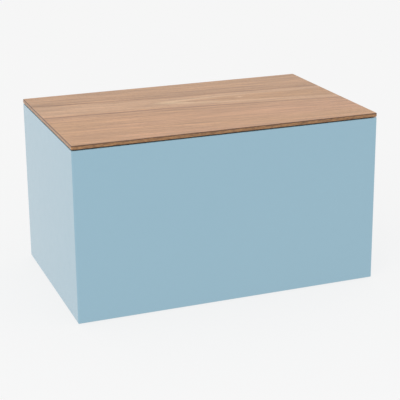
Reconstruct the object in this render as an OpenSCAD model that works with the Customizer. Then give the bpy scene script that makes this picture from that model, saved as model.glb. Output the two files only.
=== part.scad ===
// Dough box: four mitred walls, a housed bottom and a flush oak lid.
// The lid swings on two butt hinges and is held open by two slotted stays.
// The origin is on the floor, in the middle of the footprint with the hinge knuckles counted in.
// +X is to the right, +Y to the back and +Z up. All sizes are in millimetres.

/* [Walls] */
// Length of the box, left to right
body_l = 640; // [560:5:800]
// Depth of the box, front to back, without the hinge knuckles
body_d = 400; // [340:5:500]
// Height of the walls
wall_h = 348.2; // [300:0.1:450]
// Thickness of the walls
wall_t = 12; // [11:0.5:16]
// Radius of the upright corners, of the walls and of the lid
corner_r = 3; // [2:0.5:5]
// Radius of the walls' outer top edges
rim_r = 0.8; // [0.5:0.1:3]
// Radius of the walls' outer bottom edges
base_r = 2; // [0.5:0.5:4]
// Bevel on the walls' inner top edges
inner_bevel = 1; // [0.5:0.1:1.5]

/* [Corner tongues] */
// Thickness of the loose tongue across each mitre
tongue_t = 3; // [2:0.5:3.5]
// Width of the tongue, half of it in each wall
tongue_w = 10; // [8:0.5:11]
// Distance of the tongue's middle from the inner corner, along the mitre
tongue_in = 6.5; // [5.5:0.5:7.5]
// Wood left above each tongue, and below it down to the bottom panel
tongue_stop = 10; // [6:1:20]

/* [Bottom] */
// Thickness of the bottom panel
bottom_t = 6; // [4:0.5:9]
// Height of the bottom panel's underside above the walls' bottom edges
bottom_up = 12; // [8:1:18]
// Depth of the groove that holds the bottom panel
groove_d = 5; // [3:0.5:6]
// Length of the two square sides of each corner block
block_leg = 50; // [45:1:60]
// Height of the corner blocks above the walls' bottom edges
block_up = 2; // [1:0.5:3]

/* [Feet] */
// Height of the walls' bottom edges above the floor
foot_proud = 2; // [1:0.5:4]
// Radius of each foot where it meets its block
foot_r = 11; // [9:0.5:12]
// How much smaller the radius is at the floor
foot_taper = 1; // [0.5:0.5:2]
// Distance of each foot's middle from the inner faces of the walls
foot_in = 16; // [14:0.5:18]
// Height of the foot screws' heads above the floor
foot_head_up = 0.5; // [0.3:0.1:1]

/* [Lid] */
// Thickness of the lid board
lid_t = 8; // [7.5:0.5:12]
// Bevel on the lid's edges
lid_bevel = 0.9; // [0.4:0.1:1.5]
// How far the lid swings open, in degrees
lid_open = 100; // [90:1:110]

/* [Battens] */
// Width of each batten under the lid
batten_w = 18; // [14:1:24]
// Height of each batten
batten_h = 25; // [20:1:32]
// Space between the battens and the front wall
batten_front = 8; // [5:1:20]
// Space between the battens and the back wall
batten_back = 5; // [4:1:12]
// Length of the slope at each batten's ends
batten_slope = 12; // [6:1:15]
// Bevel along the battens' lower edges
batten_bevel = 2; // [1:0.5:3]

/* [Hinges] */
// Length of each hinge
hinge_len = 50; // [44:1:60]
// Distance from the end of the box to the middle of the nearer hinge
hinge_inset = 92; // [70:1:120]
// Number of knuckles on each hinge, the outer ones on the wall's leaf
knuckles = 5; // [5:2:7]
// Thickness of each leaf
leaf_t = 0.8; // [0.8:0.1:1.6]
// Space between the closed leaves
leaf_space = 0.2; // [0.1:0.05:0.4]
// Distance of the leaves' edges from the wall's inner face
leaf_in = 0.8; // [0.5:0.1:2]
// Radius of the leaves' outer corners
leaf_corner_r = 2; // [1:0.5:3]
// Radius of the hinge pin
pin_r = 1.25; // [1:0.05:1.5]
// Clearance round the pin
pin_clear = 0.05; // [0.03:0.01:0.09]
// Clearance between neighbouring knuckles
knuckle_gap = 0.2; // [0.1:0.05:0.4]
// Clearance between a knuckle and what it turns past
hinge_clear = 0.3; // [0.2:0.05:0.5]
// Radius of the pin's heads
pin_head_r = 1.9; // [1.7:0.05:2.2]
// Height of the pin's heads
pin_head_h = 0.8; // [0.5:0.1:1.2]

/* [Screws] */
// Distance between the screws of one hinge leaf
hinge_screw_pitch = 16; // [14:0.5:18]
// Shank radius of the hinge screws
hinge_screw_r = 1.4; // [1.2:0.05:1.5]
// Head radius of the hinge screws
hinge_head_r = 2.6; // [2.4:0.05:2.8]
// Length of the hinge screws in the wall
wall_screw_len = 16; // [12:1:20]
// Length of the hinge screws in the lid
lid_screw_len = 7; // [6:0.5:7.5]
// Shank radius of the batten screws
batten_screw_r = 1.75; // [1.5:0.05:2]
// Head radius of the batten screws
batten_head_r = 3.5; // [3.2:0.1:4]
// Number of screws in each batten
batten_screws_each = 4; // [3:1:5]
// Depth to which the batten screws enter the lid
batten_screw_bite = 5.5; // [4:0.5:6]
// Distance from a batten's end to its first screw
batten_screw_in = 30; // [25:1:40]
// Shank radius of the foot screws
foot_screw_r = 1.75; // [1.5:0.05:2]
// Head radius of the foot screws
foot_head_r = 4; // [3.5:0.1:4.5]
// Height of the foot screws' heads
foot_head_h = 1.2; // [0.8:0.1:1.4]
// Wood left above the foot screws
foot_screw_spare = 3; // [1:0.5:3]
// Clearance between a screw or tongue and its hole
fit = 0.1; // [0.05:0.01:0.2]

/* [Bumpers] */
// Radius of the soft bumpers on the front wall
bumper_r = 3; // [2:0.5:3]
// Distance of each bumper from the end of the box
bumper_in = 32; // [20:1:50]
// Distance of each bumper behind the box's front face
bumper_behind = 7.5; // [6:0.1:8]
// Space between a bumper and the closed lid
bumper_space = 0.1; // [0.05:0.05:0.2]

/* [Stays] */
// Distance of the stay's pivot and of its stud from the hinge axis
stay_r = 120; // [100:5:140]
// Angle between pivot and stud, seen from the hinge axis, with the lid closed
stay_angle = 20; // [18:1:26]
// Width of the stay arms
arm_w = 12; // [10:0.5:14]
// Thickness of the stay arms
arm_t = 2; // [1.5:0.1:2.5]
// Radius of the eye at the arm's pivot
arm_eye_r = 7.5; // [7:0.5:9]
// Radius of the stud that runs in the slot
stud_r = 2.5; // [2:0.1:2.8]
// Clearance on each side of the stud in the slot
slot_clear = 0.25; // [0.15:0.05:0.4]
// Spare length at each end of the slot
slot_spare = 0.5; // [0.3:0.1:1]
// Clearance on each face of the arm
arm_gap = 0.3; // [0.2:0.05:0.5]
// Length of the stud's collar between the wall and the arm
collar_len = 3; // [2.6:0.1:5]
// Radius of the stud's collar and head
stud_head_r = 5.5; // [5:0.1:6.5]
// Height of the stud's head
stud_head_h = 2; // [1.5:0.1:2.5]
// Radius of the threaded ends of the stud and the pivot screw
thread_r = 1.9; // [1.5:0.1:2.4]
// Length of the stud's thread in the wall
stud_thread_len = 9; // [7:0.5:10]
// Radius of the pivot screw's shoulder
pivot_r = 2.5; // [2.4:0.1:3]
// Radius of the pivot screw's head
pivot_head_r = 4.5; // [4:0.1:5]
// Height of the pivot screw's head
pivot_head_h = 1.6; // [1.2:0.1:1.8]
// Length of the pivot screw's thread in the batten
pivot_thread_len = 12; // [9:0.5:13]

/* [Hidden] */
$fn = 64;

LACQUER = [0.60, 0.74, 0.79];
OAK = [0.76, 0.61, 0.48];
PLYWOOD = [0.86, 0.76, 0.60];
STEEL = [0.72, 0.72, 0.70];
RUBBER = [0.16, 0.16, 0.17];
LEFT = -1;
RIGHT = 1;
cut = 1;  // how far a cutting shape runs past the surface that it cuts
crown = 0.8;  // radius of the top of a crowned head, as a share of its edge

inner_l = body_l - 2 * wall_t;
inner_d = body_d - 2 * wall_t;
tongue_z = bottom_up + bottom_t + tongue_stop;  // height of the tongues' lower ends in the walls

// Hinge axis, and with it the place of the walls along Y
knuckle_r = pin_r + pin_clear + leaf_t;
axis_out = hinge_clear + knuckle_r;
mid_y = -(axis_out + knuckle_r) / 2;
back_y = mid_y + body_d / 2;
front_y = mid_y - body_d / 2;
wall_top = foot_proud + wall_h;
lid_gap = 2 * leaf_t + leaf_space;
lid_z = wall_top + lid_gap;
hinge_y = back_y + axis_out;
hinge_z = wall_top + lid_gap / 2;
leaf_w = axis_out + wall_t - leaf_in;
leaf_screw_y = axis_out + wall_t / 2;
knuckle_pitch = hinge_len / knuckles;
knuckle_w = knuckle_pitch - knuckle_gap;

// Battens, which hang inside the box
batten_y0 = front_y + wall_t + batten_front;
batten_y1 = back_y - wall_t - batten_back;
batten_screw_run = batten_y1 - batten_y0 - 2 * batten_screw_in;

// Stay: pivot and stud are equally far from the hinge axis, so the arm turns half as far as the lid
pivot_drop = batten_h / 2 - lid_gap / 2;
pivot_angle = asin(pivot_drop / stay_r);
stud_angle = pivot_angle + stay_angle;
pivot_y = hinge_y - stay_r * cos(pivot_angle);
pivot_z = hinge_z - pivot_drop;
stud_y = hinge_y - stay_r * cos(stud_angle);
stud_z = hinge_z - stay_r * sin(stud_angle);
arm_tilt = (pivot_angle + stud_angle) / 2;
slot_near = 2 * stay_r * sin(stay_angle / 2) - slot_spare;
slot_far = 2 * stay_r * sin((stay_angle + lid_open) / 2) + slot_spare;
arm_x = inner_l / 2 - collar_len - arm_gap - arm_t;
batten_x = arm_x - arm_gap;

block_h = bottom_up - block_up;
foot_h = foot_proud + block_up;
foot_x = inner_l / 2 - foot_in;
foot_y = inner_d / 2 - foot_in;
foot_seat = foot_head_up + foot_head_h;  // depth of the recess that hides the screw's head
foot_screw_len = foot_h + block_h - foot_screw_spare - foot_seat;

// Draws its children on the right side of the box, or mirrored on the left
module on_side(side) {
    if (side == LEFT) mirror([1, 0, 0]) children();
    else children();
}

// Turns a flat outline of (Y, Z) into a solid that runs along X from x = 0
module run_x(len) {
    rotate([90, 0, 90]) linear_extrude(len) children();
}

module rounded_rect(l, d, r) {
    square([l - 2 * r, d], center = true);
    square([l, d - 2 * r], center = true);
    for (x = [-1, 1], y = [-1, 1])
        translate([x * (l / 2 - r), y * (d / 2 - r)]) circle(r);
}

// A countersunk wood screw that points down, with its head's face at z = 0
module wood_screw(head_r, shank_r, len, grow = 0) {
    head_h = head_r - shank_r;
    tip_h = 2 * shank_r;
    end = len + grow;
    translate([0, 0, -head_h]) cylinder(h = head_h, r1 = shank_r + grow, r2 = head_r + grow);
    translate([0, 0, tip_h - end]) cylinder(h = end - tip_h - head_h, r = shank_r + grow);
    translate([0, 0, -end]) cylinder(h = tip_h, r1 = shank_r / 4 + grow, r2 = shank_r + grow);
    if (grow > 0) cylinder(h = cut, r = head_r + grow);
}

// The walls

// Section of a wall: outer face at 0, inner face at wall_t, bottom edge at 0
module wall_profile() {
    difference() {
        union() {
            translate([0, base_r]) square([wall_t, wall_h - base_r - rim_r]);
            translate([base_r, 0]) square([wall_t - base_r, 2 * base_r]);
            translate([base_r, base_r]) circle(base_r);
            translate([rim_r, wall_h - 2 * rim_r]) square([wall_t - rim_r, 2 * rim_r]);
            translate([rim_r, wall_h - rim_r]) circle(rim_r);
        }
        translate([wall_t - groove_d, bottom_up - fit]) square([groove_d + cut, bottom_t + 2 * fit]);
        polygon([
            [wall_t - inner_bevel - cut, wall_h + cut],
            [wall_t + cut, wall_h + cut],
            [wall_t + cut, wall_h - inner_bevel - cut]
        ]);
    }
}

// A tongue or, with grow, its groove, in the corner at the right of the wall that faces -Y
module tongue(len, dist, grow = 0) {
    along = tongue_in / sqrt(2);
    translate([len / 2 - wall_t + along, wall_t - dist - along, tongue_z - grow])
        rotate([0, 0, 45])
            linear_extrude(wall_h - tongue_stop - tongue_z + 2 * grow)
                square([tongue_w + 2 * grow, tongue_t + 2 * grow], center = true);
}

// A wall with mitred ends and stopped grooves, its outer face on the plane y = -dist
module wall(len, dist) {
    mitre = wall_t + cut;
    difference() {
        intersection() {
            translate([-len / 2, 0, 0]) run_x(len) translate([-dist, 0]) wall_profile();
            linear_extrude(wall_h) intersection() {
                rounded_rect(len, 2 * dist, corner_r);
                polygon([
                    [-len / 2, -dist], [len / 2, -dist],
                    [len / 2 - mitre, mitre - dist], [mitre - len / 2, mitre - dist]
                ]);
            }
        }
        tongue(len, dist, fit);
        mirror([1, 0, 0]) tongue(len, dist, fit);
    }
}

module place_walls() {
    translate([0, mid_y, foot_proud]) children();
}

module front_panel() {
    color(LACQUER) place_walls() wall(body_l, body_d / 2);
}

module back_panel() {
    color(LACQUER) difference() {
        place_walls() rotate([0, 0, 180]) wall(body_l, body_d / 2);
        for (side = [LEFT, RIGHT]) hinge_screw_row(side, wall_top + leaf_t, wall_screw_len, fit);
    }
}

module end_panel(side) {
    color(LACQUER) difference() {
        place_walls() rotate([0, 0, 90 * side]) wall(body_d, body_l / 2);
        on_side(side)
            translate([inner_l / 2 - cut, stud_y, stud_z])
                rotate([0, 90, 0]) cylinder(h = stud_thread_len + cut + fit, r = thread_r + fit);
    }
}

module corner_tongues() {
    color(PLYWOOD) place_walls()
        for (side = [LEFT, RIGHT], turn = [0, 180])
            rotate([0, 0, turn]) on_side(side) tongue(body_l, body_d / 2);
}

// The bottom and the feet

module bottom_panel() {
    reach = 2 * (groove_d - fit);
    color(PLYWOOD)
        translate([0, mid_y, foot_proud + bottom_up])
            linear_extrude(bottom_t) square([inner_l + reach, inner_d + reach], center = true);
}

module at_corners() {
    translate([0, mid_y, 0])
        for (turn = [0, 180], side = [LEFT, RIGHT])
            rotate([0, 0, turn]) on_side(side) children();
}

module corner_blocks() {
    color(PLYWOOD) at_corners() difference() {
        translate([inner_l / 2, inner_d / 2, foot_h])
            linear_extrude(block_h) polygon([[0, 0], [-block_leg, 0], [0, -block_leg]]);
        translate([foot_x, foot_y, 0]) foot_screw(fit);
    }
}

// A pan-headed screw that points up through a foot
module foot_screw(grow = 0) {
    tip_h = 2 * foot_screw_r;
    end = foot_screw_len + grow;
    translate([0, 0, foot_seat]) {
        translate([0, 0, -foot_head_h]) cylinder(h = foot_head_h, r = foot_head_r);
        cylinder(h = end - tip_h, r = foot_screw_r + grow);
        translate([0, 0, end - tip_h])
            cylinder(h = tip_h, r1 = foot_screw_r + grow, r2 = foot_screw_r / 4 + grow);
    }
}

module feet() {
    color(RUBBER) at_corners() translate([foot_x, foot_y, 0]) difference() {
        cylinder(h = foot_h, r1 = foot_r - foot_taper, r2 = foot_r);
        translate([0, 0, -cut]) cylinder(h = foot_seat + cut, r = foot_head_r + fit);
        cylinder(h = foot_h + cut, r = foot_screw_r + fit);
    }
}

module foot_screws() {
    color(STEEL) at_corners() translate([foot_x, foot_y, 0]) foot_screw();
}

module lid_bumpers() {
    color(RUBBER)
        for (side = [LEFT, RIGHT])
            translate([side * (body_l / 2 - bumper_in), front_y + bumper_behind, wall_top])
                cylinder(h = lid_gap - bumper_space, r = bumper_r);
}

// The hinges

// A row of screws at one hinge, pointing down from the height z
module hinge_screw_row(side, z, len, grow = 0) {
    for (step = [-1, 0, 1])
        translate([
            side * (body_l / 2 - hinge_inset) + step * hinge_screw_pitch,
            hinge_y - leaf_screw_y,
            z
        ])
            wood_screw(hinge_head_r, hinge_screw_r, len, grow);
}

// The same row, pointing up into the lid
module lid_screw_row(side, grow = 0) {
    translate([0, 0, 2 * (lid_z - leaf_t)]) mirror([0, 0, 1])
        hinge_screw_row(side, lid_z - leaf_t, lid_screw_len, grow);
}

// Puts its children on a hinge axis, with the hinge's middle at the origin
module on_axis(side) {
    translate([side * (body_l / 2 - hinge_inset), hinge_y, hinge_z]) children();
}

// A leaf above the axis, with every second knuckle from the one numbered first
module leaf(first) {
    plate_w = leaf_w - axis_out;
    difference() {
        union() {
            translate([0, -axis_out - plate_w / 2, leaf_space / 2])
                linear_extrude(leaf_t) rounded_rect(hinge_len, plate_w, leaf_corner_r);
            for (k = [first : 2 : knuckles - 1])
                translate([(k + 0.5) * knuckle_pitch - hinge_len / 2 - knuckle_w / 2, 0, 0]) {
                    rotate([0, 90, 0]) cylinder(h = knuckle_w, r = knuckle_r);
                    translate([0, -axis_out - leaf_corner_r, leaf_space / 2])
                        cube([knuckle_w, axis_out + leaf_corner_r, leaf_t]);
                }
        }
        translate([-hinge_len / 2 - cut, 0, 0])
            rotate([0, 90, 0]) cylinder(h = hinge_len + 2 * cut, r = pin_r + pin_clear);
    }
}

module hinge_wall_leaf(side) {
    color(STEEL) difference() {
        on_axis(side) mirror([0, 0, 1]) leaf(0);
        hinge_screw_row(side, wall_top + leaf_t, wall_screw_len, fit);
    }
}

module hinge_lid_leaf(side) {
    color(STEEL) difference() {
        on_axis(side) leaf(1);
        lid_screw_row(side, fit);
    }
}

module hinge_pin(side) {
    color(STEEL) on_axis(side) rotate([0, 90, 0]) {
        cylinder(h = hinge_len, r = pin_r, center = true);
        for (end = [0, 180])
            rotate([end, 0, 0]) translate([0, 0, hinge_len / 2])
                cylinder(h = pin_head_h, r1 = pin_head_r, r2 = pin_head_r * crown);
    }
}

module hinge_wall_screws() {
    color(STEEL)
        for (side = [LEFT, RIGHT]) hinge_screw_row(side, wall_top + leaf_t, wall_screw_len);
}

module hinge_lid_screws() {
    color(STEEL) for (side = [LEFT, RIGHT]) lid_screw_row(side);
}

// The lid

// Section of a plate of width w with bevelled edges, its underside at 0
module bevelled_section(w, t, bevel) {
    half = w / 2;
    polygon([
        [bevel - half, 0], [half - bevel, 0], [half, bevel], [half, t - bevel],
        [half - bevel, t], [bevel - half, t], [-half, t - bevel], [-half, bevel]
    ]);
}

// A plate with rounded corners and a bevel all round
module bevelled_plate(l, d, t, r, bevel) {
    translate([r - l / 2, 0, 0]) run_x(l - 2 * r) bevelled_section(d, t, bevel);
    rotate([90, 0, 0]) linear_extrude(d - 2 * r, center = true) bevelled_section(l, t, bevel);
    for (x = [-1, 1], y = [-1, 1])
        translate([x * (l / 2 - r), y * (d / 2 - r), 0]) {
            cylinder(h = bevel, r1 = r - bevel, r2 = r);
            translate([0, 0, bevel]) cylinder(h = t - 2 * bevel, r = r);
            translate([0, 0, t - bevel]) cylinder(h = bevel, r1 = r, r2 = r - bevel);
        }
}

module lid_board() {
    color(OAK) difference() {
        translate([0, mid_y, lid_z]) bevelled_plate(body_l, body_d, lid_t, corner_r, lid_bevel);
        for (side = [LEFT, RIGHT]) {
            lid_screw_row(side, fit);
            batten_screw_row(side, fit);
        }
    }
}

// The screws of one batten, pointing up through it into the lid
module batten_screw_row(side, grow = 0) {
    for (k = [0 : batten_screws_each - 1])
        translate([
            side * (batten_x - batten_w / 2),
            batten_y0 + batten_screw_in + k * batten_screw_run / (batten_screws_each - 1),
            lid_z - batten_h
        ])
            mirror([0, 0, 1])
                wood_screw(batten_head_r, batten_screw_r, batten_h + batten_screw_bite, grow);
}

module lid_batten(side) {
    low = -batten_h;
    color(OAK) difference() {
        on_side(side) intersection() {
            translate([batten_x - batten_w, 0, lid_z]) run_x(batten_w) polygon([
                [batten_y0, 0], [batten_y1, 0],
                [batten_y1, batten_slope + low], [batten_y1 - batten_slope, low],
                [batten_y0 + batten_slope, low], [batten_y0, batten_slope + low]
            ]);
            translate([batten_x - batten_w / 2, batten_y1, lid_z])
                rotate([90, 0, 0]) linear_extrude(batten_y1 - batten_y0) polygon([
                    [-batten_w / 2, 0], [batten_w / 2, 0],
                    [batten_w / 2, batten_bevel + low], [batten_w / 2 - batten_bevel, low],
                    [batten_bevel - batten_w / 2, low], [-batten_w / 2, batten_bevel + low]
                ]);
        }
        batten_screw_row(side, fit);
        on_side(side)
            translate([batten_x + cut, pivot_y, pivot_z])
                rotate([0, -90, 0]) cylinder(h = pivot_thread_len + cut + fit, r = thread_r + fit);
    }
}

module batten_screws() {
    color(STEEL) for (side = [LEFT, RIGHT]) batten_screw_row(side);
}

// The stays

// The arm hangs from its pivot at the origin and is tilted towards the back
module stay_arm(side) {
    color(STEEL) on_side(side)
        translate([arm_x, pivot_y, pivot_z])
            rotate([arm_tilt, 0, 0])
                run_x(arm_t) difference() {
                    union() {
                        circle(arm_eye_r);
                        translate([-arm_w / 2, -slot_far]) square([arm_w, slot_far]);
                        translate([0, -slot_far]) circle(arm_w / 2);
                    }
                    circle(pivot_r + fit);
                    for (end = [slot_near, slot_far]) translate([0, -end]) circle(stud_r + slot_clear);
                    translate([-stud_r - slot_clear, -slot_far])
                        square([2 * (stud_r + slot_clear), slot_far - slot_near]);
                }
}

// The stud stands on the end wall and passes through the slot
module stay_stud(side) {
    color(STEEL) on_side(side)
        translate([inner_l / 2, stud_y, stud_z]) {
            rotate([0, 90, 0]) cylinder(h = stud_thread_len, r = thread_r);
            rotate([0, -90, 0]) {
                cylinder(h = collar_len, r = stud_head_r);
                cylinder(h = inner_l / 2 - batten_x, r = stud_r);
            }
            translate([batten_x - inner_l / 2, 0, 0])
                rotate([0, -90, 0])
                    cylinder(h = stud_head_h, r1 = stud_head_r, r2 = stud_head_r * crown);
        }
}

// A shoulder screw that holds the arm's eye on the batten
module stay_pivot(side) {
    shoulder = arm_t + 2 * arm_gap;
    color(STEEL) on_side(side)
        translate([batten_x, pivot_y, pivot_z]) {
            rotate([0, -90, 0]) cylinder(h = pivot_thread_len, r = thread_r);
            rotate([0, 90, 0]) {
                cylinder(h = shoulder, r = pivot_r);
                translate([0, 0, shoulder])
                    cylinder(h = pivot_head_h, r1 = pivot_head_r, r2 = pivot_head_r * crown);
            }
        }
}

front_panel();
back_panel();
end_panel(LEFT);  // left_end_panel
end_panel(RIGHT);  // right_end_panel
corner_tongues();
bottom_panel();
corner_blocks();
feet();
foot_screws();
lid_bumpers();
hinge_wall_leaf(LEFT);  // hinge_wall_leaf_left
hinge_wall_leaf(RIGHT);  // hinge_wall_leaf_right
hinge_pin(LEFT);  // hinge_pin_left
hinge_pin(RIGHT);  // hinge_pin_right
hinge_wall_screws();
stay_stud(LEFT);  // stay_stud_left
stay_stud(RIGHT);  // stay_stud_right
lid_board();
lid_batten(LEFT);  // lid_batten_left
lid_batten(RIGHT);  // lid_batten_right
batten_screws();
hinge_lid_leaf(LEFT);  // hinge_lid_leaf_left
hinge_lid_leaf(RIGHT);  // hinge_lid_leaf_right
hinge_lid_screws();
stay_pivot(LEFT);  // stay_pivot_left
stay_pivot(RIGHT);  // stay_pivot_right
stay_arm(LEFT);  // stay_arm_left
stay_arm(RIGHT);  // stay_arm_right
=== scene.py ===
import math

import bmesh
import bpy
from mathutils import Matrix, Vector

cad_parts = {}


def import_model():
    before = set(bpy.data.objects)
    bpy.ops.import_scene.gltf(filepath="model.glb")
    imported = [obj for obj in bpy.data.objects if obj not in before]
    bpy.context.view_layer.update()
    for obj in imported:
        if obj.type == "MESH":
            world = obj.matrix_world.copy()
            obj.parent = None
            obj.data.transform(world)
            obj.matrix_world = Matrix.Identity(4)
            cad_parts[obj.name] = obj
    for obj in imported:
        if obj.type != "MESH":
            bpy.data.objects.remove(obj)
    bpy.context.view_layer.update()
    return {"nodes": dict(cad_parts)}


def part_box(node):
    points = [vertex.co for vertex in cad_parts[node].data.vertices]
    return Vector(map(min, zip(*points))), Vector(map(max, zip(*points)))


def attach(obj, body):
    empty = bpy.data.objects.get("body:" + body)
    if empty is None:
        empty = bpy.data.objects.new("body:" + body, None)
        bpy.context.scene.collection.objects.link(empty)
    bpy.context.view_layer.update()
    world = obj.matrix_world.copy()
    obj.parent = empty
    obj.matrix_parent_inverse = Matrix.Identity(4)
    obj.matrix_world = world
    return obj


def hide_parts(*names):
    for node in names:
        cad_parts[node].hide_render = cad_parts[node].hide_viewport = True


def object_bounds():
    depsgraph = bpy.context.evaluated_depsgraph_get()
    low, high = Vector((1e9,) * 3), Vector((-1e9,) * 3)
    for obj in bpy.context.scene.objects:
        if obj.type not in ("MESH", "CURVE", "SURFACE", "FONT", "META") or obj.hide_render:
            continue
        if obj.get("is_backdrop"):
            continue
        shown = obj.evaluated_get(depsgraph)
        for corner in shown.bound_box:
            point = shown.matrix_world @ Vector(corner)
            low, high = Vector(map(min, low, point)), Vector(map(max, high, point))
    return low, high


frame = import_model()

MM = 0.001
SIDES = {"left": -1, "right": 1}

# Camera: focal length and middle of the picture in pixels of a 400 x 400 picture, angles in degrees, metres
PICTURE = 400
FOCAL_PX = 1172.68
CENTRE_ROW_PX = 168
AZIMUTH, ELEVATION, ROLL = -20.821, 17.06, -0.489
ASIDE, ABOVE, AWAY = 0.009, 0.042, 2.503
SENSOR_MM = 36

# Stage
FLOOR_R = 9.0
FLOOR_DROP = 0.2 * MM
SKY = 0.92
FLOOR_GLOW, FLOOR_SHADE = 0.78, 0.15
KEY_PLACE, KEY_TARGET, KEY_SIZE, KEY_POWER = (-2.9, -3.0, 2.6), (0, 0, 0.15), (2.6, 2.2), 40

# Lacquer colours
LACQUER_BLUE, LACQUER_BLUER = (0.262, 0.436, 0.536), (0.268, 0.442, 0.540)

# Oak colours, and the thickness of a year's growth
OAK_TAN, OAK_PINK, OAK_HEART = (0.520, 0.268, 0.112), (0.525, 0.262, 0.126), (0.545, 0.304, 0.157)
OAK_PALE, OAK_DEEP, OAK_RAY = (0.72, 0.46, 0.255), (0.185, 0.072, 0.022), (0.42, 0.21, 0.090)
OAK_CORE, OAK_BACK = (0.455, 0.226, 0.086), (0.462, 0.242, 0.108)
OAK_EDGE, OAK_EDGE_DARK, OAK_ARRIS = (0.345, 0.170, 0.062), (0.195, 0.086, 0.026), (0.085, 0.032, 0.010)
RING_STEP = 9.2 * MM

# The lid's figure in millimetres: the pith's place, depth and slopes, the dark rings as radius and strength
# with how much wider they are at the left end, the light ring, and the swirl
PITH_FROM_BACK, PITH_DRIFT, PITH_DEEP, PITH_SINK = 159, -0.086, 72.7, 0.030
DARK_RINGS, DARK_FLARE = ((87, 1.0), (96.2, 0.4), (114.6, 0.4)), 9.3
FLARE_FROM, FLARE_TO = -320, -57
LIGHT_RING, LIGHT_FADE_FROM, LIGHT_FADE_TO = 74, 50, 160
SWIRL_FROM_LEFT, SWIRL_FROM_BACK = 437, 163
BATTEN_PITH, BATTEN_DRIFT, BATTEN_DEEP, BATTEN_SINK = 330, 0.02, 45, 0.014

# Plywood, steel and rubber colours, and the thickness of two plies
PLY_FACE, PLY_FACE_PALE = (0.62, 0.46, 0.29), (0.68, 0.52, 0.345)
PLY_EDGE_DARK, PLY_EDGE, PLY_STEP = (0.36, 0.235, 0.135), (0.64, 0.48, 0.31), 2.8 * MM
BLOCK_FACE, BLOCK_FACE_PALE = (0.50, 0.345, 0.20), (0.60, 0.43, 0.26)
BLOCK_EDGE_DARK, BLOCK_EDGE, BLOCK_STEP = (0.30, 0.19, 0.105), (0.56, 0.41, 0.25), 2.0 * MM
STEEL_COOL, STEEL_WARM, STEEL_ROUGH = (0.44, 0.45, 0.465), (0.53, 0.525, 0.505), 0.34
RUBBER_BLACK, RUBBER_DUSTY = (0.012, 0.012, 0.013), (0.030, 0.029, 0.028)

# Screws: radii and lengths in millimetres
HINGE_SCREW = {"head_r": 2.6, "shank_r": 1.4, "pitch": 1.1}
WALL_SCREW_LEN = 16
LID_SCREW_LEN = 7
HINGE_SCREW_STEP = 16
BATTEN_SCREW = {"head_r": 3.5, "shank_r": 1.75, "pitch": 1.6}
BATTEN_SCREW_LEN = 30.5
BATTEN_SCREW_COUNT = 4
FOOT_SCREW_R, FOOT_HEAD_R, FOOT_HEAD_H, FOOT_SCREW_UP = 1.75, 4.0, 1.2, 0.5
FOOT_R, FOOT_BORE_R, FOOT_RECESS_R, FOOT_RECESS_H = 11, 1.85, 4.1, 1.7

# Lid stays in millimetres: the end wall's inner face, the stud's face, and the pivot's shoulder and head
STAY_WALL_X, STAY_STUD_FACE_X, STAY_PIVOT_X = 308, 300.4, 302.4
STAY_SHANK_R, STAY_THREAD_R, STUD_THREAD_LEN, PIVOT_THREAD_LEN = 2.5, 1.9, 9.0, 12.0
PIVOT_SHOULDER, PIVOT_HEAD = 2.6, 1.6


# Material helpers

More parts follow.
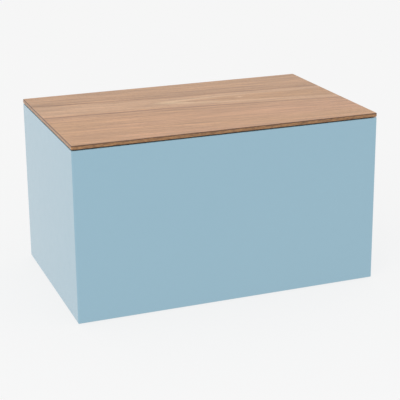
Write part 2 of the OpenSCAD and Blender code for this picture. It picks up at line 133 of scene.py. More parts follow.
class Shader:
    """One material with a Principled shader, and short calls for the nodes that feed it"""

    def __init__(self, name, **uniform):
        self.material = bpy.data.materials.new(name)
        self.material.use_nodes = True
        self.tree = self.material.node_tree
        self.tree.nodes.clear()
        output = self.tree.nodes.new("ShaderNodeOutputMaterial")
        self.bsdf = self.tree.nodes.new("ShaderNodeBsdfPrincipled")
        self.tree.links.new(self.bsdf.outputs["BSDF"], output.inputs["Surface"])
        self.coords = self.tree.nodes.new("ShaderNodeTexCoord")
        for key, value in uniform.items():
            self.bsdf.inputs[key.replace("_", " ")].default_value = value

    def put(self, socket, value):
        if isinstance(value, bpy.types.NodeSocket):
            self.tree.links.new(value, socket)
        elif value is not None:
            socket.default_value = value

    def drive(self, name, value):
        self.put(self.bsdf.inputs[name], value)

    def place(self):
        return self.coords.outputs["Object"]

    def stretched(self, vector, scale):
        node = self.tree.nodes.new("ShaderNodeVectorMath")
        node.operation = "MULTIPLY"
        self.put(node.inputs[0], vector)
        node.inputs[1].default_value = scale
        return node.outputs[0]

    def shifted(self, vector, offset):
        node = self.tree.nodes.new("ShaderNodeVectorMath")
        node.operation = "ADD"
        self.put(node.inputs[0], vector)
        node.inputs[1].default_value = offset
        return node.outputs[0]

    def length(self, vector):
        node = self.tree.nodes.new("ShaderNodeVectorMath")
        node.operation = "LENGTH"
        self.put(node.inputs[0], vector)
        return node.outputs["Value"]

    def split(self, vector):
        node = self.tree.nodes.new("ShaderNodeSeparateXYZ")
        self.put(node.inputs[0], vector)
        return node.outputs[0], node.outputs[1], node.outputs[2]

    def joined(self, x, y, z):
        node = self.tree.nodes.new("ShaderNodeCombineXYZ")
        for socket, value in zip(node.inputs, (x, y, z)):
            self.put(socket, value)
        return node.outputs[0]

    def noise(self, vector, scale=1.0, detail=2.0, rough=0.5):
        node = self.tree.nodes.new("ShaderNodeTexNoise")
        self.put(node.inputs["Vector"], vector)
        node.inputs["Scale"].default_value = scale
        node.inputs["Detail"].default_value = detail
        node.inputs["Roughness"].default_value = rough
        return node.outputs["Fac"]

    def chance(self, value):
        node = self.tree.nodes.new("ShaderNodeTexWhiteNoise")
        node.noise_dimensions = "1D"
        self.put(node.inputs["W"], value)
        return node.outputs["Value"]

    def calc(self, kind, a, b=None, c=None):
        node = self.tree.nodes.new("ShaderNodeMath")
        node.operation = kind
        for socket, value in zip(node.inputs, (a, b, c)):
            self.put(socket, value)
        return node.outputs[0]

    def span(self, value, low, high, to_low, to_high):
        node = self.tree.nodes.new("ShaderNodeMapRange")
        node.clamp = True
        for name, v in (("Value", value), ("From Min", low), ("From Max", high),
                        ("To Min", to_low), ("To Max", to_high)):
            self.put(node.inputs[name], v)
        return node.outputs["Result"]

    def ramp(self, value, *stops):
        node = self.tree.nodes.new("ShaderNodeValToRGB")
        elements = node.color_ramp.elements
        while len(elements) < len(stops):
            elements.new(0.5)
        for element, (at, shade) in zip(elements, stops):
            element.position = at
            element.color = (shade, shade, shade, 1) if isinstance(shade, (int, float)) else (*shade, 1)
        self.put(node.inputs[0], value)
        return node.outputs["Color"]

    def mixed(self, factor, a, b, kind="MIX"):
        node = self.tree.nodes.new("ShaderNodeMix")
        node.data_type = "RGBA"
        node.blend_type = kind
        colour = {i.identifier: i for i in node.inputs}
        self.put(colour["Factor_Float"], factor)
        for key, value in (("A_Color", a), ("B_Color", b)):
            self.put(colour[key], (*value, 1) if isinstance(value, tuple) else value)
        return next(o for o in node.outputs if o.identifier == "Result_Color")

    def bumped(self, height, depth, strength=1.0, under=None):
        node = self.tree.nodes.new("ShaderNodeBump")
        node.inputs["Strength"].default_value = strength
        node.inputs["Distance"].default_value = depth
        self.put(node.inputs["Height"], height)
        self.put(node.inputs["Normal"], under)
        return node.outputs[0]


# Materials

def lacquer():
    """Pale blue satin lacquer: an even coat with a faint orange peel and hardly any drift in tone"""
    s = Shader("lacquer_pale_blue", Coat_Weight=0.6, Coat_Roughness=0.12, Coat_IOR=1.5, IOR=1.5)
    place = s.place()
    drift = s.noise(place, 3.0, 2.0)
    grain = s.noise(place, 900.0, 2.0)
    tone = s.mixed(s.span(drift, 0.3, 0.7, 0, 1), LACQUER_BLUE, LACQUER_BLUER)
    speck = s.span(grain, 0.3, 0.7, 0.985, 1.015)
    s.drive("Base Color", s.mixed(1.0, tone, s.joined(speck, speck, speck), "MULTIPLY"))
    s.drive("Roughness", s.span(s.noise(place, 60.0, 3.0), 0.3, 0.7, 0.32, 0.36))
    peel = s.noise(place, 420.0, 2.0)
    s.drive("Normal", s.bumped(peel, 0.02 * MM, 0.2))
    return s.material


def oak_rings(s, radius, grain, seed, lines, flare):
    """How dark the early wood is: a ring for each year, and the dark rings that stand out"""
    rings = s.calc("DIVIDE", radius, RING_STEP)
    year = s.calc("ADD", s.calc("FLOOR", rings), 13.0 + seed)
    force = s.span(s.chance(year), 0.0, 1.0, 0.04, 0.34)
    early = s.ramp(s.calc("FRACT", rings), (0.0, 0.0), (0.05, 1.0), (0.26, 0.5), (0.6, 0.08), (1.0, 0.0))
    ring = s.calc("MULTIPLY", early, force)
    bent = s.calc("SUBTRACT", radius, s.span(grain, FLARE_FROM * MM, FLARE_TO * MM, flare * MM, 0.0))
    for place, strength in lines:
        off = s.calc("SUBTRACT", bent, place * MM)
        outside = s.span(off, 0.4 * MM, 4.4 * MM, strength, 0.0)
        ring = s.calc("ADD", ring, s.calc("MULTIPLY", outside, s.span(off, -0.5 * MM, 0.2 * MM, 0.0, 1.0)))
    return s.calc("MINIMUM", ring, 1.0), bent


def oak_edge(s, at, z, top, shade, pores, colour):
    """Mottled, darker edges under a dark arris, painted highlight on end faces, the face's own colour
    elsewhere
    """
    endwise, _, up = s.split(s.coords.outputs["Normal"])
    up = s.calc("ABSOLUTE", up)
    mottle = s.noise(s.stretched(at, (110.0, 420.0, 420.0)), 1.0, 2.0, 0.6)
    worn = s.mixed(s.span(mottle, 0.36, 0.62, 0, 1), OAK_EDGE_DARK, OAK_EDGE)
    tint = s.mixed(1.0, worn, s.joined(shade, shade, shade), "MULTIPLY")
    tint = s.mixed(s.calc("MULTIPLY", pores, 0.5), tint, OAK_DEEP)
    # The top two to four millimetres of each edge and the bevel are made much darker; the mottle varies how
    # far down and how dark
    below = s.calc("SUBTRACT", top, s.calc("MULTIPLY_ADD", mottle, -2.0 * MM, z))
    tint = s.mixed(s.span(below, 1.8 * MM, 4.2 * MM, 0.8, 0.0), tint, OAK_ARRIS)
    arris_patches = s.span(mottle, 0.35, 0.65, 1.0, 0.8)
    tint = s.mixed(s.span(up, 0.3, 0.6, 0.0, arris_patches), tint, OAK_ARRIS)
    # End faces are painted lighter: a painted highlight for the light that falls on the lid's ends
    end_highlight = s.span(s.calc("ABSOLUTE", endwise), 0.4, 0.8, 1.0, 1.35)
    tint = s.mixed(1.0, tint, s.joined(end_highlight, end_highlight, end_highlight), "MULTIPLY")
    s.drive("Coat Weight", s.span(up, 0.5, 0.9, 0.4, 0.25))
    return s.mixed(s.span(up, 0.8, 0.95, 0, 1), tint, colour)


def oak(name, along, pith, drift, deep, sink, top, seed, lines=(), flare=0.0, pale=None, swirl=None,
        arris=False):
    """Flat-sawn oak. The growth rings are cones about a pith under the face, which drifts to one side and
    comes nearer along the grain, so that the face shows long arches, the long edges straight lines and the
    ends arcs. pith, deep and top are in metres. lines are the dark rings that stand out, each a radius in
    millimetres and a strength, and flare is how many millimetres wider they are at the grain's start. pale
    is the radius of a light ring, and swirl the place of a small swirl in it. arris gives a board its
    darker edges."""
    s = Shader(name, IOR=1.5, Coat_Weight=0.25, Coat_Roughness=0.25)
    x, y, z = s.split(s.place())
    grain, across = (x, y) if along == "x" else (y, x)
    side = s.calc("SUBTRACT", across, s.calc("MULTIPLY_ADD", grain, drift, pith))
    under = s.calc("ADD", s.calc("SUBTRACT", z, top), s.calc("MULTIPLY_ADD", grain, -sink, deep))
    at = s.shifted(s.joined(grain, side, z), (seed, seed, seed))
    radius = s.calc("SQRT", s.calc("ADD", s.calc("MULTIPLY", side, side), s.calc("MULTIPLY", under, under)))
    for scale, size in (((3.0, 14.0, 14.0), 0.0045), ((8.0, 60.0, 60.0), 0.0010)):
        wander = s.calc("SUBTRACT", s.noise(s.stretched(at, scale), 1.0, 2.0), 0.5)
        radius = s.calc("MULTIPLY_ADD", wander, size, radius)
    if swirl:
        away = s.shifted(s.joined(grain, across, 0.0), (-swirl[0], -swirl[1], 0.0))
        off = s.stretched(away, (55.0, 90.0, 1.0))
        radius = s.calc("MULTIPLY_ADD", s.span(s.length(off), 0.0, 1.0, 1.0, 0.0), 0.0055, radius)

    ring, bent = oak_rings(s, radius, grain, seed, lines, flare)
    band = s.noise(s.stretched(at, (4.0, 66.0, 66.0)), 1.0, 2.0)
    streak = s.noise(s.stretched(at, (9.0, 330.0, 330.0)), 1.0, 4.0, 0.65)
    thread = s.noise(s.stretched(at, (40.0, 1500.0, 1500.0)), 1.0, 2.0, 0.6)
    vessel = s.noise(s.stretched(at, (110.0, 2300.0, 2300.0)), 1.0, 1.0, 0.5)
    least = s.span(ring, 0, 0.6, 0.615, 0.53)
    pores = s.span(vessel, least, s.calc("ADD", least, 0.05), 0, 1)
    turn = s.calc("ARCTAN2", side, under)
    spindle = s.noise(s.joined(s.calc("MULTIPLY", grain, 48.0), s.calc("MULTIPLY", turn, 210.0),
                               s.calc("MULTIPLY", radius, 12.0)), 1.0, 1.0)
    rays = s.span(spindle, 0.63, 0.72, 0, 1)
    broad = s.noise(s.stretched(at, (2.0, 9.0, 9.0)), 1.0, 2.0)

    colour = s.mixed(s.span(broad, 0.35, 0.65, 0, 1), OAK_TAN, OAK_PINK)
    if pale:
        colour = s.mixed(s.span(side, -90 * MM, 60 * MM, 0.0, 0.85), colour, OAK_BACK)
        colour = s.mixed(s.span(radius, (pale - 3) * MM, pale * MM, 0.85, 0.0), colour, OAK_CORE)
        inside = s.span(bent, (pale + 5) * MM, (pale + 12) * MM, 1.0, 0.0)
        inside = s.calc("MULTIPLY", inside, s.span(radius, (pale - 5) * MM, (pale + 1) * MM, 0.1, 1.0))
        colour = s.mixed(s.calc("MULTIPLY", inside, 0.8), colour, OAK_HEART)
        off = s.calc("ABSOLUTE", s.calc("SUBTRACT", radius, pale * MM))
        fade = s.span(grain, LIGHT_FADE_FROM * MM, LIGHT_FADE_TO * MM, 1.0, 0.35)
        light = s.calc("MULTIPLY", s.span(off, 0.3 * MM, 1.4 * MM, 0.9, 0.0), fade)
        colour = s.mixed(light, colour, OAK_PALE)
    colour = s.mixed(s.calc("MULTIPLY", ring, 0.72), colour, OAK_DEEP)
    shade = s.calc("MULTIPLY", s.span(band, 0.3, 0.7, 1.06, 0.94), s.span(streak, 0.3, 0.7, 1.38, 0.66))
    shade = s.calc("MULTIPLY", shade, s.span(thread, 0.3, 0.7, 1.10, 0.90))
    colour = s.mixed(1.0, colour, s.joined(shade, shade, shade), "MULTIPLY")
    colour = s.mixed(s.calc("MULTIPLY", rays, 0.22), colour, OAK_RAY)
    colour = s.mixed(s.calc("MULTIPLY", pores, 0.55), colour, OAK_DEEP)
    if arris:
        colour = oak_edge(s, at, z, top, shade, pores, colour)
    s.drive("Base Color", colour)
    s.drive("Roughness", s.calc("ADD", s.span(streak, 0.3, 0.7, 0.44, 0.54), s.calc("MULTIPLY", pores, 0.15)))
    lows = s.calc("MULTIPLY_ADD", ring, -0.3, s.calc("MULTIPLY", thread, 0.3))
    lows = s.calc("MULTIPLY_ADD", pores, -1.0, lows)
    s.drive("Normal", s.bumped(lows, 0.06 * MM, 0.5))
    return s.material


def plywood():
    """Sanded birch plywood: pale, fine grained faces and thin crossed plies at the edges"""
    s = Shader("plywood_birch", IOR=1.45)
    x, y, z = s.split(s.place())
    _, _, up = s.split(s.coords.outputs["Normal"])
    flat = s.span(s.calc("ABSOLUTE", up), 0.45, 0.55, 0, 1)
    at = s.joined(x, y, z)
    wave = s.noise(s.stretched(at, (3.0, 14.0, 14.0)), 1.0, 2.0)
    figure = s.calc("SINE", s.calc("MULTIPLY_ADD", wave, 60.0, s.calc("MULTIPLY", y, 130.0)))
    fine = s.noise(s.stretched(at, (16.0, 700.0, 700.0)), 1.0, 2.0)
    face = s.mixed(s.span(figure, -1, 1, 0, 1), PLY_FACE, PLY_FACE_PALE)
    ply = s.calc("FRACT", s.calc("DIVIDE", z, PLY_STEP))
    layer = s.ramp(ply, (0.0, 0.12), (0.06, 0.9), (0.46, 1.0), (0.52, 0.25), (0.94, 0.38), (1.0, 0.12))
    edge = s.mixed(layer, PLY_EDGE_DARK, PLY_EDGE)
    colour = s.mixed(flat, edge, face)
    shade = s.span(fine, 0.3, 0.7, 1.05, 0.90)
    s.drive("Base Color", s.mixed(1.0, colour, s.joined(shade, shade, shade), "MULTIPLY"))
    s.drive("Roughness", s.span(fine, 0.3, 0.7, 0.58, 0.70))
    s.drive("Normal", s.bumped(fine, 0.04 * MM, 0.3))
    return s.material


def block_wood():
    """The sawn corner blocks: grain across the box, plies at the edges and saw marks"""
    s = Shader("plywood_block", IOR=1.45)
    place = s.place()
    x, y, z = s.split(place)
    _, _, up = s.split(s.coords.outputs["Normal"])
    flat = s.span(s.calc("ABSOLUTE", up), 0.45, 0.55, 0, 1)
    fine = s.noise(s.stretched(place, (620.0, 18.0, 620.0)), 1.0, 2.0)
    wave = s.noise(s.stretched(place, (40.0, 6.0, 40.0)), 1.0, 2.0)
    face = s.mixed(s.span(wave, 0.35, 0.65, 0, 1), BLOCK_FACE, BLOCK_FACE_PALE)
    ply = s.calc("FRACT", s.calc("DIVIDE", z, BLOCK_STEP))
    layer = s.ramp(ply, (0.0, 0.1), (0.08, 0.9), (0.46, 1.0), (0.54, 0.2), (0.92, 0.32), (1.0, 0.1))
    edge = s.mixed(layer, BLOCK_EDGE_DARK, BLOCK_EDGE)
    colour = s.mixed(flat, edge, face)
    shade = s.span(fine, 0.3, 0.7, 1.08, 0.86)
    s.drive("Base Color", s.mixed(1.0, colour, s.joined(shade, shade, shade), "MULTIPLY"))
    s.drive("Roughness", s.span(fine, 0.3, 0.7, 0.62, 0.76))
    saw = s.noise(s.stretched(s.joined(s.calc("ADD", x, y), z, 0.0), (900.0, 60.0, 1.0)), 1.0, 1.0)
    s.drive("Normal", s.bumped(s.calc("ADD", saw, fine), 0.05 * MM, 0.35))
    return s.material


def steel(name, brushed, shade):
    """Zinc-plated steel with fine lines along one axis"""
    s = Shader(name, Metallic=1.0)
    scale = {"x": (12.0, 1700.0, 1700.0), "y": (1700.0, 12.0, 1700.0), "z": (1700.0, 1700.0, 12.0)}[brushed]
    lines = s.noise(s.stretched(s.place(), scale), 1.0, 2.0)
    cloud = s.noise(s.place(), 140.0, 3.0)
    cool, warm = (tuple(part * shade for part in colour) for colour in (STEEL_COOL, STEEL_WARM))
    colour = s.mixed(s.span(cloud, 0.3, 0.7, 0, 1), cool, warm)
    tone = s.span(lines, 0.3, 0.7, 0.84, 1.10)
    s.drive("Base Color", s.mixed(1.0, colour, s.joined(tone, tone, tone), "MULTIPLY"))
    lined = s.span(lines, 0.3, 0.7, STEEL_ROUGH - 0.07, STEEL_ROUGH + 0.07)
    s.drive("Roughness", s.calc("ADD", lined, s.span(cloud, 0.3, 0.7, 0, 0.08)))
    s.drive("Normal", s.bumped(lines, 0.012 * MM, 0.5))
    return s.material


def rubber():
    """Matt moulded rubber with a fine grain"""
    s = Shader("rubber_black", IOR=1.5)
    grain = s.noise(s.place(), 1400.0, 2.0)
    dust = s.noise(s.place(), 120.0, 3.0)
    s.drive("Base Color", s.mixed(s.span(dust, 0.4, 0.75, 0, 1), RUBBER_BLACK, RUBBER_DUSTY))
    s.drive("Roughness", s.span(grain, 0.3, 0.7, 0.70, 0.86))
    s.drive("Normal", s.bumped(grain, 0.05 * MM, 0.5))
    return s.material


# Mesh helpers

def piece(name, mesh, material, body, nodes, sharp=35):
    """A finished mesh in the row frame becomes a piece that rides on a body and stands for those nodes"""
    bmesh.ops.recalc_face_normals(mesh, faces=mesh.faces)
    data = bpy.data.meshes.new(name)
    mesh.to_mesh(data)
    mesh.free()
    data.shade_smooth()
    data.set_sharp_from_angle(angle=math.radians(sharp))
    data.materials.append(material)
    obj = bpy.data.objects.new(name, data)
    bpy.context.scene.collection.objects.link(obj)
    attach(obj, body)
    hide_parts(*nodes)
    return obj


def ring_of(mesh, radius, height, count):
    """A ring of vertices; radius may be a function of the angle"""
    made = []
    for k in range(count):
        turn = 2 * math.pi * k / count
        r = radius(turn) if callable(radius) else radius
        made.append(mesh.verts.new((r * math.cos(turn) * MM, r * math.sin(turn) * MM, height * MM)))
    return made


def skin(mesh, rings):
    """Quads between rings of equal count"""
    for low, high in zip(rings, rings[1:]):
        count = len(low)
        for k in range(count):
            n = (k + 1) % count
            mesh.faces.new((low[k], low[n], high[n], high[k]))


def closed_lathe(mesh, profile, count=48):
    """A closed section of (radius, height) turned about Z"""
    rings = [ring_of(mesh, r, h, count) for r, h in profile]
    skin(mesh, rings + rings[:1])


def loop_edges(mesh, verts):
    found = []
    for a, b in zip(verts, verts[1:] + verts[:1]):
        found.append(mesh.edges.get((a, b)) or mesh.edges.new((a, b)))
    return found


def cross_recess(mesh, rim, height, arm, half, depth):
    """Closes a ring with a face that has a tapered cross recess in it"""
    def cross(scale, z):
        a, h = arm * scale, half * (0.55 + 0.45 * scale)
        quarter = [(a, -h), (a, h), (h, h)]
        points = []
        for turn in range(4):
            c, s = round(math.cos(turn * math.pi / 2)), round(math.sin(turn * math.pi / 2))
            points += [(x * c - y * s, x * s + y * c) for x, y in quarter]
        return [mesh.verts.new((x * MM, y * MM, z * MM)) for x, y in points]

    top, low = cross(1.0, height), cross(0.45, height - depth)
    edges = loop_edges(mesh, rim) + loop_edges(mesh, top)
    bmesh.ops.triangle_fill(mesh, use_beauty=True, use_dissolve=False, edges=edges)
    skin(mesh, [top, low])
    mesh.faces.new(low)


def thread_rings(mesh, start, end, shank_r, pitch, count, per_turn=6, tip=0.0, right_hand=1):
    """Rings of a wood thread that runs from height start down to end, and thins to a point over tip"""
    rows = max(4, round((start - end) / pitch * per_turn))
    rings = []
    for j in range(rows + 1):
        z = start + (end - start) * j / rows
        left = z - end
        thin = 1.0 if tip == 0 or left > tip else 0.18 + 0.82 * left / tip
        run_in = min(1.0, (start - z) / pitch)

        def radius(turn, z=z, thin=thin, run_in=run_in):
            phase = (right_hand * turn / (2 * math.pi) - z / pitch) % 1.0
            crest = max(0.0, 1.0 - abs(phase - 0.5) / 0.24)
            core = 1.0 - 0.30 * run_in
            return shank_r * thin * (core + (1.0 - core) * crest)

        rings.append(ring_of(mesh, radius, z, count))
    return rings


def countersunk_screw(length, head_r, shank_r, pitch, count=24):
    """A wood screw that points down, with its head's face at height 0"""
    mesh = bmesh.new()
    head_h = head_r - shank_r
    rings = [ring_of(mesh, r, z, count) for r, z in (
        (head_r - 0.14, 0.0), (head_r - 0.05, -0.05), (head_r - 0.09, -0.16), (shank_r + 0.05, -head_h))]
    plain = min(0.3 * length, 6.0)
    rings += thread_rings(mesh, -head_h - plain, -length, shank_r, pitch, count, tip=2 * shank_r)
    skin(mesh, rings)
    mesh.faces.new(rings[-1])
    cross_recess(mesh, rings[0], 0.0, head_r * 0.62, head_r * 0.17, head_r * 0.5)
    return mesh


def placed(target, source, matrix):
    """Adds a mesh to another one, moved by a matrix"""
    data = bpy.data.meshes.new("scratch")
    bmesh.ops.transform(source, matrix=matrix, verts=source.verts)
    source.to_mesh(data)
    source.free()
    target.from_mesh(data)
    bpy.data.meshes.remove(data)


def moved_to(x, y, z, turn=None):
    move = Matrix.Translation((x, y, z))
    return move @ turn if turn else move


FLIPPED = Matrix.Rotation(math.pi, 4, "X")


# Screws

def hinge_screws(material, which, body, length, face_up):
    """Three countersunk screws in each hinge leaf"""
    node = f"hinge_{which}_screws"
    low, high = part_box(node)
    mesh = bmesh.new()
    for side in SIDES:
        leaf_low, leaf_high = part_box(f"hinge_{which}_leaf_{side}")
        middle = (leaf_low.x + leaf_high.x) / 2
        for step in (-1, 0, 1):
            x = middle + step * HINGE_SCREW_STEP * MM
            y = (low.y + high.y) / 2
            spin = Matrix.Rotation(0.5 * step + 0.3 * SIDES[side], 4, "Z")
            spot = moved_to(x, y, high.z, spin) if face_up else moved_to(x, y, low.z, FLIPPED @ spin)
            placed(mesh, countersunk_screw(length, **HINGE_SCREW), spot)
    piece(f"{node}_cross", mesh, material, body, [node])


def batten_screws(material):
    """Countersunk screws up through the battens"""
    low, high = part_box("batten_screws")
    radius = BATTEN_SCREW["head_r"] * MM
    mesh = bmesh.new()
    y0, y1 = low.y + radius, high.y - radius
    for side, sign in SIDES.items():
        x = sign * (-low.x - radius)
        for k in range(BATTEN_SCREW_COUNT):
            y = y0 + (y1 - y0) * k / (BATTEN_SCREW_COUNT - 1)
            spin = Matrix.Rotation(0.7 * k + sign, 4, "Z")
            screw = countersunk_screw(BATTEN_SCREW_LEN, **BATTEN_SCREW)
            placed(mesh, screw, moved_to(x, y, low.z, FLIPPED @ spin))
    piece("batten_screws_cross", mesh, material, "lid", ["batten_screws"])


def foot_places():
    low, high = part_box("feet")
    radius = FOOT_R * MM
    return [(x, y) for x in (low.x + radius, high.x - radius) for y in (low.y + radius, high.y - radius)]


def foot_screws(material):
    """Pan-headed screws up through the feet"""
    _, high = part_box("foot_screws")
    bearing = FOOT_SCREW_UP + FOOT_HEAD_H
    mesh = bmesh.new()
    for k, (x, y) in enumerate(foot_places()):
        one = bmesh.new()
        head = [(2.5, FOOT_HEAD_H), (3.2, FOOT_HEAD_H * 0.92), (3.75, FOOT_HEAD_H * 0.66),
                (FOOT_HEAD_R, FOOT_HEAD_H * 0.25), (FOOT_HEAD_R, 0.0), (FOOT_SCREW_R, 0.0)]
        rings = [ring_of(one, r, z, 24) for r, z in head]
        rings += thread_rings(one, -0.8, -(high.z / MM - bearing), FOOT_SCREW_R, 1.4, 24, tip=3.5)
        skin(one, rings)
        one.faces.new(rings[-1])
        cross_recess(one, rings[0], FOOT_HEAD_H, 2.0, 0.55, 0.95)
        placed(mesh, one, moved_to(x, y, bearing * MM, FLIPPED @ Matrix.Rotation(0.4 * k, 4, "Z")))
    piece("foot_screws_cross", mesh, material, "carcass", ["foot_screws"])


# Feet and bumpers

def feet(material):
    """Moulded feet with a rounded rim, a grip groove and a recess for the screw"""
    _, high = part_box("feet")
    top, outer = high.z / MM, FOOT_R
    mesh = bmesh.new()
    profile = [
        (FOOT_BORE_R, FOOT_RECESS_H), (FOOT_RECESS_R, FOOT_RECESS_H), (FOOT_RECESS_R, 0.3),
        (FOOT_RECESS_R + 0.1, 0.09), (FOOT_RECESS_R + 0.3, 0.0), (6.2, 0.0), (6.35, 0.10), (6.5, 0.4),
        (7.1, 0.4), (7.25, 0.10), (7.4, 0.0), (9.3, 0.0), (9.75, 0.12), (10.0, 0.42), (10.12, 0.8),
        (outer - 0.1, top - 0.35), (outer - 0.02, top - 0.12), (outer - 0.1, top), (FOOT_BORE_R, top)]
    for x, y in foot_places():
        one = bmesh.new()
        closed_lathe(one, profile)
        placed(mesh, one, moved_to(x, y, 0))
    piece("feet_moulded", mesh, material, "carcass", ["feet"])


def bumpers(material):
    """Domed bumpers on the front wall"""
    low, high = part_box("lid_bumpers")
    radius = (high.y - low.y) / 2 / MM
    tall = (high.z - low.z) / MM
    mesh = bmesh.new()
    for sign in SIDES.values():
        one = bmesh.new()
        profile = [(radius - 0.1, 0.0), (radius, 0.12)]
        for turn in (math.radians(degrees) for degrees in range(10, 90, 10)):
            profile.append((radius * math.cos(turn) ** 0.8, tall * (0.12 + 0.88 * math.sin(turn))))
        rings = [ring_of(one, r, h, 40) for r, h in profile]
        skin(one, rings)
        one.faces.new(rings[0])
        tip = one.verts.new((0, 0, tall * MM))
        for a, b in zip(rings[-1], rings[-1][1:] + rings[-1][:1]):
            one.faces.new((a, b, tip))
        placed(mesh, one, moved_to(sign * (high.x - radius * MM), (low.y + high.y) / 2, low.z))
    piece("lid_bumpers_domed", mesh, material, "carcass", ["lid_bumpers"])


# Lid stays

def turned_part(sections, thread_from, thread_to, thread_r, head):
    """A turned screw along +Z: rings of (radius, height) down from its head, then a threaded end, with a
    cross recess. head is the recess's arm, half width and depth"""
    mesh = bmesh.new()
    rings = [ring_of(mesh, r, z, 32) for r, z in sections]
    rings += thread_rings(mesh, thread_from, thread_to, thread_r, 1.3, 32, tip=thread_r * 1.2)
    skin(mesh, rings)
    mesh.faces.new(rings[-1])
    cross_recess(mesh, rings[0], sections[0][1], *head)
    return mesh


def along_x(side, x, y, z, towards):
    """Turns +Z to +X or -X on that side and puts it in place"""
    return moved_to(x, y, z, Matrix.Rotation(math.radians(90 * towards * side), 4, "Y"))


def stay_stud(side, sign, material):
    node = f"stay_stud_{side}"
    low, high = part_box(node)
    y, z = (low.y + high.y) / 2, (low.z + high.z) / 2
    wall = sign * STAY_WALL_X * MM
    face = STAY_WALL_X - STAY_STUD_FACE_X
    sections = [(4.1, face), (4.7, face - 0.25), (5.2, face - 0.8), (5.45, face - 1.5), (5.45, face - 1.9),
                (5.35, face - 2.0), (STAY_SHANK_R, face - 2.0), (STAY_SHANK_R, 3.0), (5.3, 3.0), (5.5, 2.8),
                (5.5, 0.0), (STAY_THREAD_R, 0.0)]
    mesh = turned_part(sections, -0.4, -STUD_THREAD_LEN, STAY_THREAD_R, (2.3, 0.62, 1.5))
    bmesh.ops.transform(mesh, matrix=along_x(sign, wall, y, z, -1), verts=mesh.verts)
    piece(f"{node}_turned", mesh, material, "carcass", [node])


def stay_pivot(side, sign, material):
    node = f"stay_pivot_{side}"
    low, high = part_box(node)
    y, z = (low.y + high.y) / 2, (low.z + high.z) / 2
    face = PIVOT_SHOULDER + PIVOT_HEAD
    sections = [(3.3, face), (3.9, face - 0.2), (4.3, face - 0.65), (4.5, face - 1.2), (4.5, face - 1.5),
                (4.4, PIVOT_SHOULDER), (STAY_SHANK_R, PIVOT_SHOULDER), (STAY_SHANK_R, 0.0),
                (STAY_THREAD_R, 0.0)]
    mesh = turned_part(sections, -0.4, -PIVOT_THREAD_LEN, STAY_THREAD_R, (2.0, 0.55, 1.1))
    bmesh.ops.transform(mesh, matrix=along_x(sign, sign * STAY_PIVOT_X * MM, y, z, 1), verts=mesh.verts)
    piece(f"{node}_turned", mesh, material, "lid", [node])


# Stage

def stage_material():
    s = Shader("stage_white", Roughness=0.9, Emission_Strength=FLOOR_GLOW)
    s.bsdf.inputs["Base Color"].default_value = (FLOOR_SHADE, FLOOR_SHADE, FLOOR_SHADE, 1)
    s.bsdf.inputs["Emission Color"].default_value = (1, 1, 1, 1)
    s.bsdf.inputs["Specular IOR Level"].default_value = 0.0
    return s.material


def floor():
    mesh = bmesh.new()
    bmesh.ops.create_circle(mesh, cap_ends=True, radius=FLOOR_R, segments=96)
    data = bpy.data.meshes.new("floor")
    mesh.to_mesh(data)
    mesh.free()
    data.materials.append(stage_material())
    obj = bpy.data.objects.new("floor", data)
    obj.location.z = -FLOOR_DROP
    bpy.context.scene.collection.objects.link(obj)
    obj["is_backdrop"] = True


def softbox(name, place, target, size, power):
    data = bpy.data.lights.new(name, "AREA")
    data.shape = "RECTANGLE"
    data.size, data.size_y = size
    data.energy = power
    obj = bpy.data.objects.new(name, data)
    obj.location = place
    obj.rotation_euler = (Vector(place) - Vector(target)).to_track_quat("Z", "Y").to_euler()
    bpy.context.scene.collection.objects.link(obj)


def world():
    sky = bpy.data.worlds.new("studio")
    sky.use_nodes = True
    background = sky.node_tree.nodes["Background"]
    background.inputs["Color"].default_value = (1, 1, 1, 1)
    background.inputs["Strength"].default_value = SKY
    bpy.context.scene.world = sky


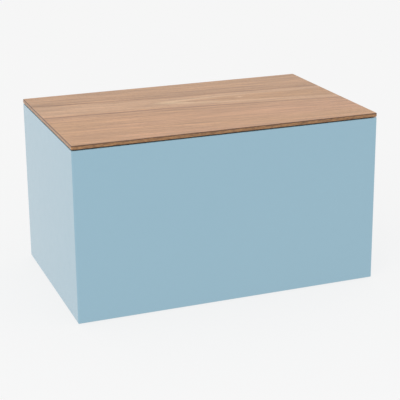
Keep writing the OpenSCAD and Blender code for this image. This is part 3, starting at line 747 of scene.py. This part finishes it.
def camera():
    az, el, roll = (math.radians(a) for a in (AZIMUTH, ELEVATION, ROLL))
    back = Vector((math.sin(az) * math.cos(el), -math.cos(az) * math.cos(el), math.sin(el)))
    right = Vector((math.cos(az), math.sin(az), 0))
    up = back.cross(right)
    x = right * math.cos(roll) + up * math.sin(roll)
    y = up * math.cos(roll) - right * math.sin(roll)
    low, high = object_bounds()
    middle = (Vector(low) + Vector(high)) / 2
    middle.y = (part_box("lid_board")[0].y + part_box("lid_board")[1].y) / 2
    spot = middle + back * AWAY + x * ASIDE + y * ABOVE
    data = bpy.data.cameras.new("camera")
    data.sensor_width = SENSOR_MM
    data.lens = FOCAL_PX / PICTURE * SENSOR_MM
    data.shift_y = (CENTRE_ROW_PX - PICTURE / 2) / PICTURE
    obj = bpy.data.objects.new("camera", data)
    obj.matrix_world = Matrix((
        (x.x, y.x, back.x, spot.x), (x.y, y.y, back.y, spot.y), (x.z, y.z, back.z, spot.z), (0, 0, 0, 1)))
    bpy.context.scene.collection.objects.link(obj)
    bpy.context.scene.camera = obj


# The scene

def dress(names, material):
    for name in names:
        obj = frame["nodes"][name]
        for slot in obj.material_slots:
            slot.material = material


def main():
    dress(["front_panel", "back_panel", "left_end_panel", "right_end_panel"], lacquer())
    dress(["bottom_panel", "corner_tongues"], plywood())
    dress(["corner_blocks"], block_wood())
    lid_low, lid_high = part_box("lid_board")
    dress(["lid_board"], oak(
        "oak_lid", "x", lid_high.y - PITH_FROM_BACK * MM, PITH_DRIFT, PITH_DEEP * MM, PITH_SINK, lid_high.z,
        seed=0.0, lines=DARK_RINGS, flare=DARK_FLARE, pale=LIGHT_RING, arris=True,
        swirl=(lid_low.x + SWIRL_FROM_LEFT * MM, lid_high.y - SWIRL_FROM_BACK * MM)))
    batten_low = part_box("lid_batten_left")[0].z
    for side, sign, seed in (("left", -1, 3.0), ("right", 1, 7.0)):
        dress([f"lid_batten_{side}"], oak(
            f"oak_batten_{side}", "y", sign * BATTEN_PITH * MM, -BATTEN_DRIFT * sign, BATTEN_DEEP * MM,
            BATTEN_SINK * sign, batten_low, seed))
    leaf = steel("steel_leaf", "x", 1.0)
    bright = steel("steel_screw", "z", 1.05)
    strip = steel("steel_strip", "z", 0.95)
    for side, sign in SIDES.items():
        dress([f"hinge_wall_leaf_{side}", f"hinge_lid_leaf_{side}", f"hinge_pin_{side}"], leaf)
        dress([f"stay_arm_{side}"], strip)
        stay_stud(side, sign, bright)
        stay_pivot(side, sign, bright)
    hinge_screws(bright, "wall", "carcass", WALL_SCREW_LEN, True)
    hinge_screws(bright, "lid", "lid", LID_SCREW_LEN, False)
    batten_screws(bright)
    foot_screws(bright)
    soft = rubber()
    feet(soft)
    bumpers(soft)

    floor()
    world()
    softbox("key", KEY_PLACE, KEY_TARGET, KEY_SIZE, KEY_POWER)
    camera()
    bpy.context.scene.view_settings.view_transform = "Standard"


main()
